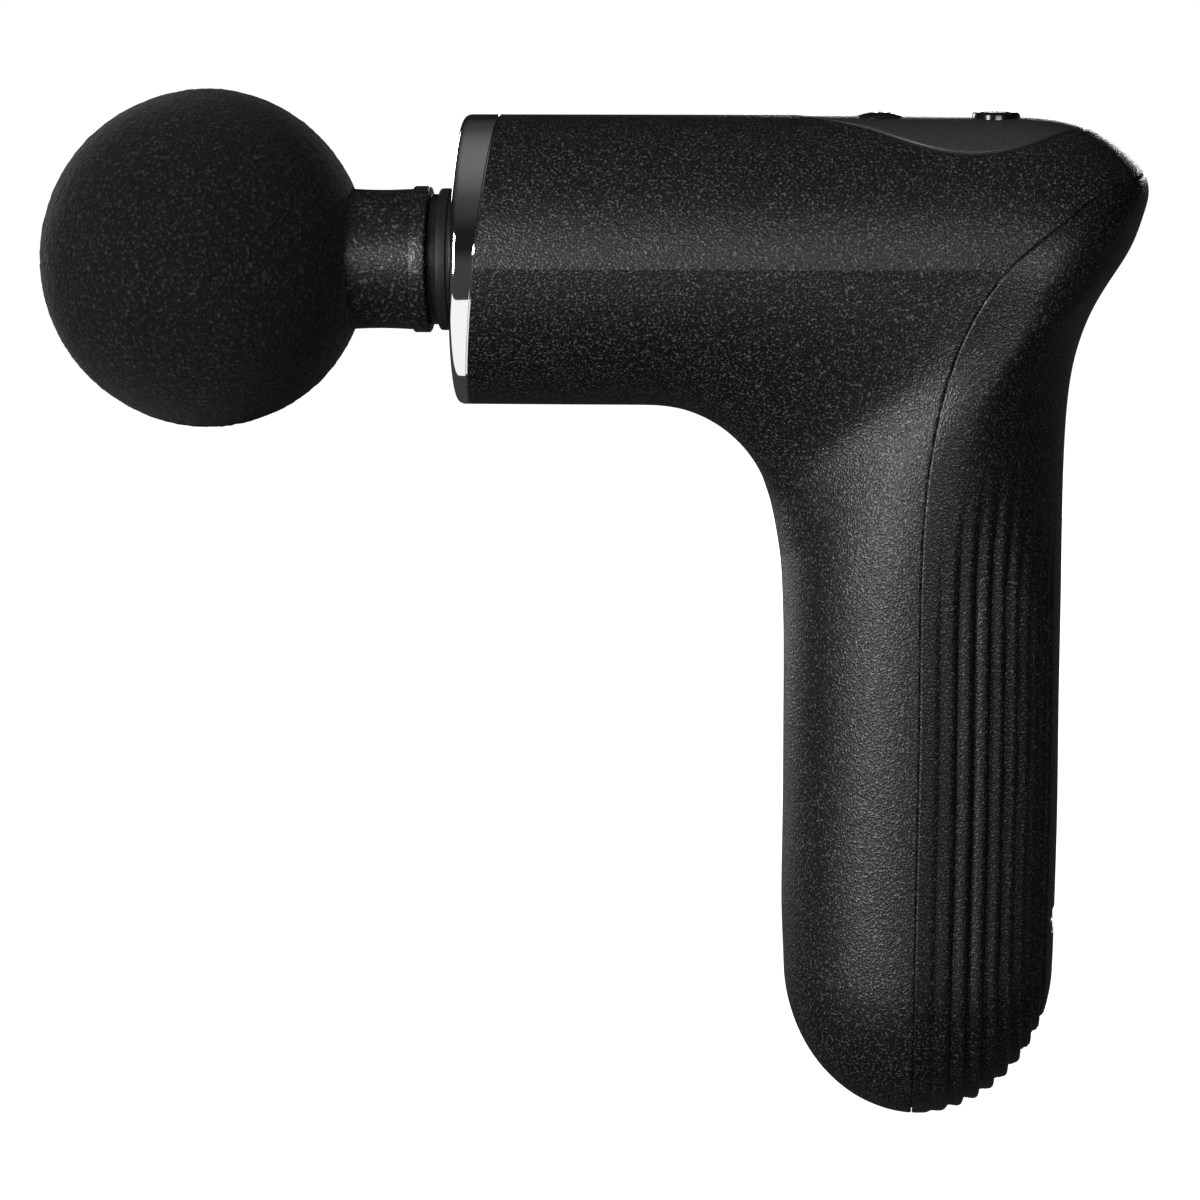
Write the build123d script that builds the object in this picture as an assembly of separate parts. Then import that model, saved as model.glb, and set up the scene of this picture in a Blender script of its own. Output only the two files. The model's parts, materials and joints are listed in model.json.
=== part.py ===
from build123d import *
import os
from math import cos, pi, radians, sin

# A small L-shaped massage gun. The stroke runs along X, with the head at -X. The handle hangs down, along -Z.
# The origin is the mouth of the piston's socket, on the stroke axis. All sizes are in millimetres.

# ---- casing: driving dimensions ----
barrel_r = 21.2
barrel_start = 2.0
barrel_end = 31.0                  # the barrel is a plain round tube up to here, then the bend begins
wall = 2.4
roundness = 0.5523                 # Bezier arm of a quarter circle
grip_w = 19.2                      # half the handle's thickness, across Y
dome_x = 72.2                      # middle of the handle's rounded foot
dome_z = -103.5                    # height where the foot starts to round off
dome_a = 20.0                      # half the handle's depth, along X
dome_h = 23.4
dome_angles = (12, 24, 36, 48, 60, 70, 79, 85)

# The bend and the handle: inner point (x, z), outer point (x, z), half width, place of the widest point.
bend_stations = (
    ((34.0, -21.3), (40.5, 21.2), 21.2, 0.500),
    ((37.0, -21.8), (52.0, 21.2), 21.1, 0.506),
    ((41.0, -23.4), (66.0, 21.2), 20.9, 0.525),
    ((44.6, -26.0), (80.0, 21.1), 20.6, 0.552),
    ((47.0, -28.7), (90.0, 20.8), 20.3, 0.580),
    ((48.3, -30.8), (96.4, 19.0), 20.1, 0.620),
    ((49.0, -32.4), (101.0, 15.9), 19.9, 0.655),
    ((49.4, -33.6), (103.6, 13.3), 19.8, 0.675),
    ((49.8, -34.8), (104.6, 10.3), 19.7, 0.680),
    ((50.1, -36.0), (104.0, 7.4), 19.6, 0.675),
    ((50.5, -37.8), (102.3, 2.7), 19.5, 0.660),
    ((50.9, -40.0), (99.6, -1.8), 19.4, 0.640),
    ((51.4, -43.2), (96.6, -7.0), 19.3, 0.610),
    ((51.7, -47.0), (94.2, -14.0), 19.2, 0.580),
    ((51.9, -52.0), (93.1, -22.5), 19.2, 0.550),
    ((52.0, -59.0), (92.75, -34.0), 19.2, 0.530),
    ((52.0, -68.0), (92.7, -49.0), 19.2, 0.515),
    ((52.0, -78.0), (92.6, -65.0), 19.2, 0.505),
    ((51.9, -88.0), (92.6, -81.0), 19.2, 0.500),
    ((51.9, -96.5), (92.4, -94.0), 19.2, 0.500),
    ((52.2, dome_z), (92.2, dome_z), grip_w, 0.500),
)

# Parting line between the front and rear shells, from the beak at the back down to the foot.
parting_points = (
    (112.0, 16.6), (104.0, 12.8), (97.6, 10.6), (92.3, 6.9), (85.2, 1.1), (79.0, -7.5),
    (75.0, -18.2), (72.9, -30.4), (72.1, -59.6), (71.8, -95.5), (71.4, -132.0),
)
shell_gap = 0.12
far = 60.0                         # half size of a cutting tool, past every side

# ---- nose ----
ring_front = 4.1
ring_corner = 1.2
ring_slope = 0.1038                # the ring's rear face leans back by this much per unit of height
ring_back = 8.0                    # where that face crosses the stroke axis
lip_r = 15.5
spigot_r = 18.7
spigot_in = 17.0
spigot_end = 12.4
lip_back = 5.4
retainer_r = 16.6
retainer_span = (9.4, 10.8)
ring_angles = (90, 210, 330)       # where the nose screws sit, round the stroke axis
screw_circle = 17.1

# ---- piston, head and bush ----
piston_r = 9.55
socket_r = 7.0
socket_depth = 16.0
piston_end = 40.0
stroke = 7.0
bush_clear = 0.05
bush_r = 12.5
bush_span = (11.0, 36.0)
seal_r = 10.4
seal_front = 1.3
plug_r = 6.94
plug_length = 14.0
ball_x = -32.9
ball_r = 24.9
ball_back = 23.4
stem_r = 10.3
stem_front = -12.2
flange_r = 10.65
flange_width = 2.35

# ---- crank drive ----
crank_x = 72.0
throw = stroke / 2
pin_r = 1.5
roller_r = 5.0
roller_half = 2.8
slot_half_x = 5.85
slot_half_y = 8.9
yoke_half = (8.85, 11.85, 3.0)
rod_r = 5.0
stud_r = 3.0
stud_front = 26.0
shaft_r = 1.75
disc_r = 11.0
disc_span = (-7.8, -3.8)
plate_span = (-12.0, -9.0)
run_clear = 0.03
rail_gap = 0.05
boss_x = 50.0
boss_y = 9.0
rail_width = 2.5
rail_top = 4.0
carrier_r = 15.0
flange_span = (14.0, 17.0)         # the drive frame's flange inside the barrel
base_screw_place = 7.0             # motor screws, from the crank's axis
thread_r = 0.8                     # small self-tapping screws
screw_head_r = 1.9
boss_post_r = 2.6
boss_bottom = -20.0

# ---- motor ----
bell_r = 15.0
bell_in = 14.0
bell_span = (-29.5, -14.3)
bell_floor = -27.6
magnet_r = 12.65
magnet_count = 12
stator_r = 12.3
stator_span = (-25.0, -16.0)
tooth_count = 9
tooth_width = 1.8
tube_r = 5.15
bearing_r = 4.0
bearing_width = 3.0
bearing_places = (-26.0, -15.0)
base_top = -12.0
motor_thread_r = 0.9

# ---- controls ----
panel_half = 12.8                  # widest half width of the control panel
panel_points = ((53.4, 0.0), (60.0, 5.0), (68.0, 9.9), (77.5, panel_half), (86.5, 11.0), (92.5, 5.8), (95.2, 0.0))
panel_gap = 0.15
panel_sink = 0.15
button_r = 3.5
button_rise = 0.55
button_travel = 0.5
button_places = (("front", 65.6), ("rear", 82.4))
board_span = (12.4, 13.6)
switch_top = 14.4
pillar_x = 74.0                    # the panel's two screw pillars
pillar_y = 8.0

# ---- battery and electronics ----
cell_r = 7.0
cell_length = 50.0
cell_pitch = 7.05
cell_top = -41.0
tray_wall = 0.8
board_x = 68.0
board_thick = 1.6
board_z = (-115.0, -93.0)
port_z = -97.0
port_size = (7.4, 8.94, 3.2)
port_back = 92.0
port_opening = (9.5, 3.7)
port_wall = 0.3
wire_r = 0.6

made = {}


# ---- helpers ----
def turned(profile, start=0.0):
    """A ring turned about the X axis from (x, radius) corners."""
    corners = [(x + start, 0, r) for x, r in profile]
    return revolve(make_face(Polyline(*corners, close=True)), Axis.X, 360)


def rod_x(radius, x0, x1, y=0.0, z=0.0):
    """A round bar along X."""
    return Pos((x0 + x1) / 2, y, z) * Rot(0, 90, 0) * Cylinder(radius, x1 - x0)


def rod_z(radius, z0, z1, x=0.0, y=0.0):
    """A round bar along Z."""
    return Pos(x, y, (z0 + z1) / 2) * Cylinder(radius, z1 - z0)


def tube_x(outer, inner, x0, x1):
    """A plain tube along X on the stroke axis."""
    return rod_x(outer, x0, x1) - rod_x(inner, x0 - 1, x1 + 1)


def tube_z(outer, inner, z0, z1, x=crank_x, y=0.0):
    """A plain tube along Z, on the crank's axis unless told otherwise."""
    return rod_z(outer, z0, z1, x, y) - rod_z(inner, z0 - 1, z1 + 1, x, y)


def block(x, y, z):
    """A box from three (low, high) spans."""
    size = (x[1] - x[0], y[1] - y[0], z[1] - z[0])
    return Pos((x[0] + x[1]) / 2, (y[0] + y[1]) / 2, (z[0] + z[1]) / 2) * Box(*size)


def around(shape, count, centre_x=crank_x, start=0.0):
    """Copies of a shape turned about a vertical axis, as a list of separate solids."""
    return [
        Pos(centre_x, 0, 0) * Rot(0, 0, start + 360 * i / count) * Pos(-centre_x, 0, 0) * shape
        for i in range(count)
    ]


def wire(points, radius, bend):
    """A wire of straight runs joined by round bends."""
    path = FilletPolyline(*points, radius=bend)
    return sweep(Plane(path @ 0, z_dir=path % 0) * Circle(radius), path=path)


def keep(name, shape):
    """Name a finished piece; a list is a group of separate solids."""
    made[name] = Compound(children=[Compound(s.solids()) for s in shape]) if isinstance(shape, list) else shape


# ---- casing ----
def station_wire(inner, outer, half_width, widest, inset):
    """One cross-section of the casing: four Bezier quarters round the inner and outer points."""
    start = Vector(inner[0], 0, inner[1])
    along = Vector(outer[0], 0, outer[1]) - start
    length = along.length - 2 * inset
    along = along.normalized()
    start = start + along * inset
    low = length * widest
    arm_low = low * (1 - roundness)
    arm_high = low + (length - low) * roundness
    edges = []
    for side in (half_width - inset, inset - half_width):
        at = lambda s, y: start + along * s + Vector(0, y, 0)
        edges.append(Edge.make_bezier(at(0, 0), at(0, roundness * side), at(arm_low, side), at(low, side)))
        edges.append(
            Edge.make_bezier(at(low, side), at(arm_high, side), at(length, roundness * side), at(length, 0))
        )
    return Wire(edges)


def casing_loft(inset=0.0):
    """The whole outer form of the casing as one smooth solid, shrunk by an inset."""
    start, end = [((x, -barrel_r), (x, barrel_r), barrel_r, 0.5) for x in (barrel_start, barrel_end)]
    barrel = Solid.make_loft([station_wire(*start, inset), station_wire(*end, inset)], ruled=True)
    rows = [end, *bend_stations]
    for angle in dome_angles:
        a = radians(angle)
        z = dome_z - (dome_h - inset) * sin(a)
        half = (dome_a - inset) * cos(a) + inset
        width = (grip_w - inset) * cos(a) + inset
        rows.append(((dome_x - half, z), (dome_x + half, z), width, 0.5))
    return barrel + Solid.make_loft([station_wire(*row, inset) for row in rows])


def rear_zone(dx=0.0, dz=0.0):
    """Everything behind the parting line, moved by a small amount."""
    line = Spline(*[(x + dx, 0, z + dz) for x, z in parting_points])
    close = Polyline(line @ 1, (150, 0, -132), (150, 0, 16.6), line @ 0)
    return extrude(make_face(line + close), far, both=True)


def ring_rear_tool(gap=0.0):
    """Everything behind the leaning rear face of the nose ring."""
    corners = [
        (ring_back + gap + ring_slope * far, 0, far), (ring_back + gap - ring_slope * far * 3, 0, -far * 3),
        (200, 0, -far * 3), (200, 0, far),
    ]
    return extrude(make_face(Polyline(*corners, close=True)), far, both=True)


def almond(grow=0.0):
    """The control panel's outline seen from above, as a tall prism."""
    mid = (panel_points[0][0] + panel_points[-1][0]) / 2
    scale_x = 1 + 2 * grow / (panel_points[-1][0] - panel_points[0][0])
    scale_y = 1 + grow / panel_half
    right = [(mid + (x - mid) * scale_x, y * scale_y) for x, y in panel_points]
    left = [(x, -y) for x, y in reversed(right)]
    outline = make_face(Spline(*right) + Spline(*left))
    return Pos(0, 0, 8) * extrude(outline, 20)


def bracket_bosses():
    """Two posts on the front shell's side walls that carry the drive frame."""
    posts = []
    for side in (-1, 1):
        post = rod_z(boss_post_r, boss_bottom, plate_span[0], boss_x, side * boss_y)
        web = block((boss_x - 1.2, boss_x + 1.2), sorted((side * boss_y, side * 20.0)), (boss_bottom, plate_span[0]))
        posts.append(post + web - rod_z(thread_r, boss_bottom + 1, -11.0, boss_x, side * boss_y))
    return posts


def make_casing():
    """The two outer shells and the control panel let into the top."""
    outer = casing_loft()
    cavity = casing_loft(wall)
    hollow = outer - cavity
    front = hollow - rear_zone(-shell_gap, shell_gap)
    front = front & ring_rear_tool(shell_gap)
    front = front + (tube_x(barrel_r - 1.0, 15.6, flange_span[1] + 0.1, 20.0) & outer)
    for angle in ring_angles:
        front = front - Rot(angle, 0, 0) * rod_x(thread_r, 16, 19, 0, screw_circle)
    for boss in bracket_bosses():
        front = front + (boss & outer)
    front = front - almond(panel_gap)
    rear = hollow & rear_zone()
    half_width, half_height = port_opening[0] / 2, port_opening[1] / 2
    port_hole = block((86, 96), (-half_width, half_width), (port_z - half_height, port_z + half_height))
    rear = rear - fillet(port_hole.edges().filter_by(Axis.X), 1.6)
    keep("front_shell", front)
    keep("rear_shell", rear)
    panel = (casing_loft(panel_sink) - casing_loft(wall)) & almond()
    for _, x in button_places:
        panel = panel - rod_z(button_r + 0.12, 5, 30, x)
    for y in (-pillar_y, pillar_y):
        panel = panel + (rod_z(2.0, board_span[1], 20, pillar_x, y) & casing_loft(panel_sink))
        panel = panel - rod_z(0.7, board_span[1] - 1, 16.5, pillar_x, y)
    keep("control_panel", panel)


# ---- nose ----
def make_nose():
    """The polished ring, the black disc inside it, and the seal and bush round the piston."""
    corner = ring_corner * (1 - cos(pi / 4))
    band = turned([
        (ring_front, lip_r), (ring_front, barrel_r - ring_corner), (ring_front + corner, barrel_r - corner),
        (ring_front + ring_corner, barrel_r), (12, barrel_r), (12, spigot_in), (lip_back, spigot_in),
        (lip_back, lip_r),
    ])
    ring = band - ring_rear_tool() + tube_x(spigot_r, spigot_in, lip_back, spigot_end)
    keep("nose_ring", ring)
    keep("nose_plate", turned([
        (lip_back, 11.6), (lip_back, spigot_in - 0.1), (7.9, spigot_in - 0.1), (7.9, 10.5), (6.6, 10.5),
    ]))
    keep("dust_seal", turned([
        (seal_front, piston_r + 0.2), (seal_front, seal_r - 0.4), (seal_front + 0.4, seal_r), (7.9, seal_r),
        (7.9, 14.0), (9.4, 14.0), (9.4, piston_r + 0.2),
    ]))
    keep("seal_retainer", tube_x(retainer_r, piston_r + 0.25, *retainer_span))
    keep("guide_bush", tube_x(bush_r, piston_r + bush_clear, *bush_span))


# ---- head ----
def make_head():
    """The foam ball on its hard core, with the plug and its two rubber rings."""
    upright = Plane(origin=(ball_x, 0, 0), x_dir=(1, 0, 0), z_dir=(0, -1, 0))
    front = Edge.make_ellipse(ball_r, ball_r, upright, 90, 180)
    back = Edge.make_ellipse(ball_back, ball_r, upright, 0, 90)
    axis = Line((ball_x - ball_r, 0, 0), (ball_x + ball_back, 0, 0))
    ball = revolve(make_face([front, back, axis]), Axis.X, 360)
    foot = stem_r - 0.05
    core = turned([(-40, 0), (-40, 6), (-38, 8), (-24, 8), (-24, 13), (-22, 14), (-20, 13), (-20, foot),
                   (stem_front, foot), (stem_front + 0.4, stem_r), (-7.2, stem_r - 0.15), (-flange_width, stem_r),
                   (-flange_width, flange_r), (0, flange_r), (0, plug_r), (3.0, plug_r), (3.0, 5.9),
                   (4.6, 5.9), (4.6, plug_r), (9.0, plug_r), (9.0, 5.9), (10.6, 5.9), (10.6, plug_r),
                   (plug_length - 0.8, plug_r), (plug_length, plug_r - 0.8), (plug_length, 0)])
    keep("foam_ball", ball - core)
    keep("head_core", core)
    keep("plug_rings", [turned([(x, 5.9), (x, 6.7), (x + 0.3, 6.98), (x + 1.3, 6.98), (x + 1.6, 6.7), (x + 1.6, 5.9)])
                        for x in (3.0, 9.0)])


# ---- piston and yoke ----
def make_piston():
    """The piston tube with its open socket, and the yoke pinned into its back."""
    piston = turned([(0, socket_r), (0, piston_r - 0.3), (0.3, piston_r), (piston_end, piston_r),
                     (piston_end, stud_r), (stud_front, stud_r), (stud_front, 0), (socket_depth, 0),
                     (socket_depth, socket_r)])
    pin_hole = rod_z(1.25, -12, 12, 33.0)
    keep("piston_tube", piston - pin_hole)
    mid = crank_x + throw
    hx, hy, hz = yoke_half
    frame = block((mid - hx, mid + hx), (-hy, hy), (-hz, hz))
    slot = block((mid - slot_half_x, mid + slot_half_x), (-slot_half_y, slot_half_y), (-10, 10))
    rod = rod_x(rod_r, piston_end, mid - hx) & block((0, 100), (-9, 9), (-3.2, 3.2))
    yoke = frame - fillet(slot.edges().filter_by(Axis.Z), 1.5) + rod
    yoke = yoke + rod_x(stud_r, stud_front + 0.5, piston_end) - pin_hole
    keep("drive_yoke", yoke)
    keep("yoke_pin", rod_z(1.25, -piston_r + 0.6, piston_r - 0.6, 33.0))


# ---- drive frame and motor ----
def make_frame():
    """The cast frame that carries the bush, the yoke's rails and the motor, with its screws."""
    frame = tube_x(carrier_r, bush_r, bush_span[0], 34.0) + tube_x(18.5, bush_r, *flange_span)
    frame = frame + (tube_x(17.0, piston_r + 0.45, 36.0, 39.0) + tube_x(carrier_r, bush_r, 33.0, 36.0))
    plate = block((37.0, 88.5), (-14.0, 14.0), plate_span)
    plate = plate - rod_x(piston_r + 0.45, 36.0, piston_end + 1.0)
    for angle in ring_angles:
        frame = frame - Rot(angle, 0, 0) * rod_x(1.1, 13, 18, 0, screw_circle)
    for side in (-1, 1):
        inner = yoke_half[1] + rail_gap
        spans = sorted((side * inner, side * (inner + rail_width)))
        plate = plate + block((57.0, 88.0), spans, (plate_span[0] + 1, rail_top))
        plate = plate - rod_z(1.1, -13, rail_top + 1, 54.2, side * 11.0)
    plate = plate - rod_z(3.2, -13, -8, crank_x)
    for screw in around(rod_z(motor_thread_r, -13, -8, crank_x + base_screw_place), 4, start=45):
        plate = plate - screw
    for side in (-1, 1):
        plate = plate - rod_z(1.0, -13, -8, boss_x, side * boss_y)
        plate = plate - rod_z(2.2, -10.5, rail_top + 1, boss_x, side * boss_y)
    keep("drive_frame", frame + plate)
    screw = rod_x(screw_head_r, 12.6, flange_span[0], 0, screw_circle)
    screw = (screw + rod_x(thread_r, flange_span[0], 19.0, 0, screw_circle)) & rod_x(18.5, 10, 20)
    keep("nose_screws", [Rot(angle, 0, 0) * screw for angle in ring_angles])
    screw = rod_z(thread_r, -18.5, -10.5, boss_x) + rod_z(screw_head_r, -10.5, -9.1, boss_x)
    keep("frame_screws", [Pos(0, side * boss_y, 0) * screw for side in (-1, 1)])


def make_motor():
    """The outrunner motor: base and stator fixed to the frame, bell, magnets and shaft on the crank."""
    base = tube_z(tube_r, bearing_r, -27.0, base_top) + tube_z(9.0, bearing_r, base_top - 1.6, base_top)
    base = base - tube_z(bearing_r + 0.01, 3.2, -23.0, -15.0)
    for screw in around(rod_z(motor_thread_r, -14, -11, crank_x + base_screw_place), 4, start=45):
        base = base - screw
    keep("motor_base", base)
    bearings = [tube_z(bearing_r, shaft_r + run_clear, z, z + bearing_width) for z in bearing_places]
    keep("motor_bearings", bearings)
    screw_x = crank_x + base_screw_place
    screw = rod_z(motor_thread_r, -13.6, plate_span[1], screw_x) + rod_z(1.6, plate_span[1], -8.1, screw_x)
    keep("motor_screws", around(screw, 4, start=45))
    shoe = tube_z(stator_r, 11.2, *stator_span) & block((80, 90), (-3.4, 3.4), (-40, 0))
    tooth = block((crank_x + 6.5, crank_x + 11.5), (-tooth_width / 2, tooth_width / 2), stator_span)
    stator = tube_z(7.2, tube_r, *stator_span)
    for piece in around(tooth + shoe, tooth_count):
        stator = stator + piece
    keep("stator_core", stator)
    coil = block((crank_x + 7.5, crank_x + 10.9), (-2.0, 2.0), (-27.0, -14.0))
    coil = coil - block((crank_x + 7, crank_x + 12), (-tooth_width / 2, tooth_width / 2), stator_span)
    keep("stator_windings", around(fillet(coil.edges().filter_by(Axis.Z).group_by(Axis.Y)[0], 0.5), tooth_count))
    bell = tube_z(bell_r, bell_in, *bell_span) + tube_z(bell_in, shaft_r, bell_span[0], bell_floor)
    for vent in around(rod_z(1.8, -31, -27, crank_x + 9.0), 6):
        bell = bell - vent
    keep("rotor_bell", bell)
    arc = tube_z(bell_in, magnet_r, -26.5, -15.0)
    arc = arc & block((crank_x + 8, crank_x + 16), (-3.3, 3.3), (-40, 0))
    keep("rotor_magnets", around(arc, magnet_count))
    keep("motor_shaft", rod_z(shaft_r, bell_span[0], disc_span[1], crank_x))


def make_crank():
    """The crank disc on the motor shaft, its pin, and the roller that drives the yoke."""
    pin_x = crank_x + throw
    disc = rod_z(disc_r, *disc_span, crank_x) - rod_z(shaft_r, -10, 0, crank_x) - rod_z(pin_r, -10, 0, pin_x)
    relief = tube_z(9.6, 6.4, -10, 0) & block((crank_x, 100), (-20, 20), (-10, 0))
    disc = disc - relief - rod_x(1.25, crank_x - disc_r - 1, crank_x - shaft_r, 0, -5.8)
    keep("crank_disc", disc)
    keep("grub_screw", rod_x(1.25, crank_x - 8.0, crank_x - shaft_r, 0, -5.8))
    keep("crank_pin", rod_z(pin_r, disc_span[0], 4.0, pin_x) - tube_z(3, 1.15, 3.0, 3.6, pin_x))
    keep("pin_clip", tube_z(2.7, 1.15, 3.0, 3.6, pin_x))
    keep("crank_roller", tube_z(roller_r, pin_r + run_clear, -roller_half, roller_half, pin_x))


# ---- controls ----
def make_controls():
    """The two buttons with their marks and switches, and the board under the panel."""
    top = barrel_r + button_rise
    for name, x in button_places:
        cap = rod_z(button_r, 18.6, top, x) + rod_z(1.4, switch_top + button_travel + 0.1, 18.6, x)
        cap = fillet(cap.faces().sort_by(Axis.Z)[-1].edges(), 0.35)
        marks = mark_bars(name, x, top)
        for mark in marks:
            cap = cap - mark
        keep(name + "_button", cap)
        keep(name + "_button_marks", marks)
        keep(name + "_switch", block((x - 2.2, x + 2.2), (-2.2, 2.2), (board_span[1], switch_top)))
    board = block((58.0, 91.0), (-9.6, 9.6), board_span)
    for side in (-1, 1):
        board = board - rod_z(1.0, 12, 15, pillar_x, side * pillar_y)
    keep("panel_board", board)
    screw = rod_z(1.7, 11.3, board_span[0], pillar_x) + rod_z(0.7, board_span[0], 16.0, pillar_x)
    keep("panel_screws", [Pos(0, side * pillar_y, 0) * screw for side in (-1, 1)])


def mark_bars(name, x, top):
    """Pale inlays on a button: three short bars in front, one longer bar behind."""
    spans = [(-1.25, 0.25), (0.0, 0.25), (1.25, 0.25)] if name == "front" else [(0.0, 1.1)]
    return [block((x + dx - half, x + dx + half), (-0.9, 0.9), (top - 0.2, top)) for dx, half in spans]


# ---- battery and electronics ----
def make_battery():
    """Four cells in a tray, joined by strips, with a foam pad on top."""
    bottom = cell_top - cell_length
    centre = dome_x + 0.1
    for i, (sx, sy) in enumerate(((-1, -1), (1, -1), (-1, 1), (1, 1)), start=1):
        x, y = centre + sx * cell_pitch, sy * cell_pitch
        cell = rod_z(cell_r, bottom, cell_top, x, y)
        keep(f"battery_cell_{i}", chamfer(cell.edges(), 0.4))
    half = cell_pitch + cell_r + tray_wall
    tray = block((centre - half, centre + half), (-half, half), (bottom - 1.6, bottom + 18.0))
    tray = fillet(tray.edges().filter_by(Axis.Z), 11.0)
    tray = tray - block((centre - 5, centre + 5), (-5, 5), (bottom, cell_top))
    for x, y in ((centre - cell_pitch, cell_pitch), (centre + cell_pitch, cell_pitch)):
        for side in (-1, 1):
            tray = tray - rod_z(cell_r, bottom - 0.3, cell_top, x, side * y)
    strips = []
    for side in (-1, 1):
        strip = block((centre - 10, centre + 10), (side * cell_pitch - 2.5, side * cell_pitch + 2.5), (0, 0.3))
        strips.append(Pos(0, 0, cell_top) * strip)
        strips.append(Pos(0, 0, bottom - 0.3) * strip)
    for strip in strips:
        tray = tray - strip
    keep("battery_tray", tray)
    keep("battery_strips", strips)
    keep("battery_pad", fillet(block((centre - 9, centre + 9), (-9, 9), (cell_top + 0.3, cell_top + 3.3))
                               .edges().filter_by(Axis.Z), 3))


def make_electronics():
    """The main board with its larger parts, and the charging port on its own small board."""
    board = block((board_x, board_x + board_thick), (-11.0, 11.0), board_z)
    keep("main_board", chamfer(board.edges().filter_by(Axis.X).group_by(Axis.Z)[0], 3.0))
    chips = [block((board_x - 1.2, board_x), (y - 2.0, y + 2.0), (-108, -103)) for y in (-5.0, 0.0, 5.0)]
    keep("board_parts", [*chips, block((board_x - 3.2, board_x), (-3, 3), (-115, -110))])
    length, width, height = port_size
    port_front = port_back - length
    under = port_z - height / 2
    shell = block((port_front, port_back), (-width / 2, width / 2), (under, under + height))
    shell = fillet(shell.edges().filter_by(Axis.X), height * 0.49)
    inner = width / 2 - port_wall
    cut = block((port_front + 1, port_back + 1), (-inner, inner), (under + port_wall, under + height - port_wall))
    keep("charge_port", shell - fillet(cut.edges().filter_by(Axis.X), height * 0.38))
    keep("port_tongue", block((port_front + 1, port_back - 1.0), (-3.3, 3.3), (port_z - 0.35, port_z + 0.35)))
    keep("port_board", block((board_x + board_thick, port_back - 4.0), (-6.0, 6.0), (under - 1.2, under)))


def make_wires():
    """Leads from the motor, the battery and the panel to the main board."""
    leads = []
    for y in (-3.0, 0.0, 3.0):
        leads.append(wire([(62.6, y, -12.9), (55.8, y, -12.9), (55.8, y, -98.0), (board_x, y, -98.0)], wire_r, 1.8))
    keep("motor_leads", leads)
    tray_floor = cell_top - cell_length - 1.6
    leads = []
    for y in (-7.4, 7.4):
        leads.append(wire([(64.0, y, tray_floor), (64.0, y, -100.5), (board_x, y, -100.5)], wire_r, 1.8))
    keep("battery_leads", leads)
    top = board_span[0]
    keep("panel_lead", wire([(90.2, 0, top), (90.2, 0, -10), (88.9, 0, -30), (88.9, 0, -93.8),
                             (board_x + board_thick, 0, -93.8)], wire_r, 1.0))


make_casing()
make_nose()
make_head()
make_piston()
make_frame()
make_motor()
make_crank()
make_controls()
make_battery()
make_electronics()
make_wires()

os.makedirs("parts", exist_ok=True)
for piece_name, piece in made.items():
    export_step(piece, f"parts/{piece_name}.step")
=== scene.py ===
import json
from math import cos, pi, radians, sin, sqrt

import bmesh
import bpy
import numpy as np
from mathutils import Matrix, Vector
from mathutils.bvhtree import BVHTree


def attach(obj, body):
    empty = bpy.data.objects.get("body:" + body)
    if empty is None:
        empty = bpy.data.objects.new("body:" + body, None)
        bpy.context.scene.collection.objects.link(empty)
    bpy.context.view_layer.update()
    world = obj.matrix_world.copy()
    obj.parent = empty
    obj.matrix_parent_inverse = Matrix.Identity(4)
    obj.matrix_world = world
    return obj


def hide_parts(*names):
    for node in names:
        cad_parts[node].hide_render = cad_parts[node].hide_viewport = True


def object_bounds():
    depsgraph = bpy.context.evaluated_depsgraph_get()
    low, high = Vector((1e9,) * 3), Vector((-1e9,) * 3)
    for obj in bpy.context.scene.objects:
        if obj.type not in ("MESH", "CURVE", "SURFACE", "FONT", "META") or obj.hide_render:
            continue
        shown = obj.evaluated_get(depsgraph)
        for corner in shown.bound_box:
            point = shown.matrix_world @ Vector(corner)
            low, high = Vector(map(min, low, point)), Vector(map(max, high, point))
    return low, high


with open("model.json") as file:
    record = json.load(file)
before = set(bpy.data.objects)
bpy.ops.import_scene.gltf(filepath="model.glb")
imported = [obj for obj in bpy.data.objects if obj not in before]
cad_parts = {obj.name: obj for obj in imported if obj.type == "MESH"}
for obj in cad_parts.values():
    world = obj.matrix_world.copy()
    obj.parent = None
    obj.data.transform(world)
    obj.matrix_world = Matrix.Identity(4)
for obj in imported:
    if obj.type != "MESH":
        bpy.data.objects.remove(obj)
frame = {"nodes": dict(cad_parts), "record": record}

# A small L-shaped massage gun. Shapes are worked out in millimetres, in the frame of the CAD model,
# and written to meshes in metres. The stroke runs along X, the head is at -X, the handle hangs down.
cad_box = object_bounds()
MM = 0.001

# ---- casing: the dimensions of the CAD model, a hair smaller at the foot and the beak ----
BARREL_R = 21.2
BARREL_END = 31.0
ROUNDNESS = 0.5523
GRIP_W = 19.2
DOME_X = 72.2
DOME_Z = -103.5
DOME_A = 20.0
DOME_H = 23.3
WALL = 2.2
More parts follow.
